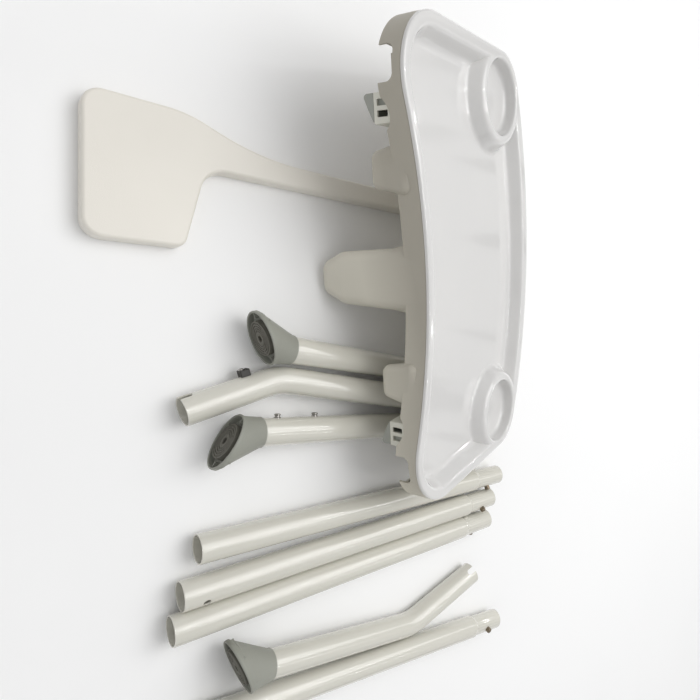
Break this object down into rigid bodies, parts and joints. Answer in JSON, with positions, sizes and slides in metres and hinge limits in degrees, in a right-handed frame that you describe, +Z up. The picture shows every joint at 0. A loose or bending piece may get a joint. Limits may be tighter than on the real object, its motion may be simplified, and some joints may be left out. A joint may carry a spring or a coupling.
{
  "type": "high_chair",
  "caption": "High chair for a young child, taken apart and laid out: tray on its crotch post, footrest, bent lower legs with foot cups and long leg tubes with snap buttons.",
  "frame": {"origin": "centre of the layout on the floor plane", "axes": "+X across the layout from the tray towards the long tubes, +Y away from the open front of the layout towards the tubes' swaged ends, +Z up from the floor"},
  "size_m": [0.757, 0.5374, 0.1763],
  "materials": {
    "tray_shell": "satin grey-beige moulded plastic",
    "tray_gloss": "glossy light grey-white plastic",
    "bright_metal": "polished steel heads",
    "latch_white": "off-white moulded plastic",
    "latch_grey": "smooth mid-grey plastic",
    "spring_steel": "bare spring steel",
    "footrest_shell": "satin off-white plastic",
    "painted_tube": "glossy warm-white painted steel tube",
    "button_metal": "dark bronze-grey metal",
    "foot_grey": "matt mid-grey plastic",
    "pad_rubber": "dark grey-brown rubber",
    "dark_screw": "blackened screw head",
    "clip_black": "near-black plastic"
  },
  "bodies": {
    "legs_under_tray": {"lower_leg_1": "painted_tube", "lower_leg_2": "painted_tube", "lower_leg_3": "painted_tube", "foot_cup_1": "foot_grey", "foot_pad_1": "pad_rubber", "foot_screw_1": "dark_screw", "foot_cup_2": "foot_grey", "foot_pad_2": "pad_rubber", "foot_screw_2": "dark_screw", "foot_cup_3": "foot_grey", "foot_pad_3": "pad_rubber", "foot_screw_3": "dark_screw", "brace_clip": "clip_black", "brace_rivet": "bright_metal", "brace_studs": "bright_metal"},
    "tray": {"tray_base": "tray_shell", "latch_housing_1": "latch_white", "latch_housing_2": "latch_white", "tray_screws": "bright_metal", "latch_spring_1": "spring_steel", "latch_spring_2": "spring_steel"},
    "insert": {"tray_insert": "tray_gloss"},
    "lever_1": {"latch_lever_1": "latch_grey"},
    "lever_2": {"latch_lever_2": "latch_grey"},
    "footrest": {"footrest": "footrest_shell"},
    "lower_leg_4": {"lower_leg_4": "painted_tube", "foot_cup_4": "foot_grey", "foot_pad_4": "pad_rubber", "foot_screw_4": "dark_screw"},
    "tube_1": {"long_leg_1": "painted_tube", "snap_spring_1": "spring_steel"},
    "button_1": {"snap_button_1": "button_metal"},
    "tube_2": {"long_leg_2": "painted_tube", "snap_spring_2": "spring_steel"},
    "button_2": {"snap_button_2": "button_metal"},
    "tube_3": {"long_leg_3": "painted_tube", "snap_spring_3": "spring_steel"},
    "button_3": {"snap_button_3": "button_metal"},
    "tube_4": {"long_leg_4": "painted_tube", "snap_spring_4": "spring_steel"},
    "button_4": {"snap_button_4": "button_metal"}
  },
  "joints": [
    {"name": "tray_lift", "type": "slide", "parent": "legs_under_tray", "child": "tray", "axis": [0, 0, 1], "range_m": [0, 0.25]},
    {"name": "insert_lift", "type": "slide", "parent": "tray", "child": "insert", "axis": [0.1061, 0.3185, 0.942], "range_m": [0, 0.06]},
    {"name": "latch_1_slide", "type": "slide", "parent": "tray", "child": "lever_1", "axis": [0.9673, 0.1863, -0.1719], "range_m": [0, 0.006], "stiffness_N_per_m": 600, "springref_m": -0.003, "deforming": ["latch_spring_1"]},
    {"name": "latch_2_slide", "type": "slide", "parent": "tray", "child": "lever_2", "axis": [-0.9673, -0.1863, 0.1719], "range_m": [0, 0.006], "stiffness_N_per_m": 600, "springref_m": -0.003, "deforming": ["latch_spring_2"]},
    {"name": "tube_1_slide", "type": "slide", "parent": "legs_under_tray", "child": "tube_1", "axis": [0.0131, -0.9999, 0], "range_m": [0, 0.45]},
    {"name": "tube_2_lift", "type": "slide", "parent": "legs_under_tray", "child": "tube_2", "axis": [0, 0, 1], "range_m": [0, 0.2]},
    {"name": "tube_3_lift", "type": "slide", "parent": "legs_under_tray", "child": "tube_3", "axis": [0, 0, 1], "range_m": [0, 0.2]},
    {"name": "tube_4_lift", "type": "slide", "parent": "legs_under_tray", "child": "tube_4", "axis": [0, 0, 1], "range_m": [0, 0.2]},
    {"name": "snap_button_1_press", "type": "slide", "parent": "tube_1", "child": "button_1", "axis": [-0.9135, -0.012, -0.4067], "range_m": [0, 0.0055], "stiffness_N_per_m": 1200, "springref_m": -0.003, "deforming": ["snap_spring_1"]},
    {"name": "snap_button_2_press", "type": "slide", "parent": "tube_2", "child": "button_2", "axis": [-0.6153, -0.0219, -0.788], "range_m": [0, 0.0055], "stiffness_N_per_m": 1200, "springref_m": -0.003, "deforming": ["snap_spring_2"]},
    {"name": "snap_button_3_press", "type": "slide", "parent": "tube_3", "child": "button_3", "axis": [-0.9505, -0.0339, 0.309], "range_m": [0, 0.0055], "stiffness_N_per_m": 1200, "springref_m": -0.003, "deforming": ["snap_spring_3"]},
    {"name": "snap_button_4_press", "type": "slide", "parent": "tube_4", "child": "button_4", "axis": [-0.3404, 0.0334, -0.9397], "range_m": [0, 0.0055], "stiffness_N_per_m": 1200, "springref_m": -0.003, "deforming": ["snap_spring_4"]},
    {"name": "lower_leg_4_lift", "type": "slide", "parent": "legs_under_tray", "child": "lower_leg_4", "axis": [0, 0, 1], "range_m": [0, 0.2]},
    {"name": "footrest_slide", "type": "slide", "parent": "legs_under_tray", "child": "footrest", "axis": [0, -1, 0], "range_m": [0, 0.45]}
  ]
}
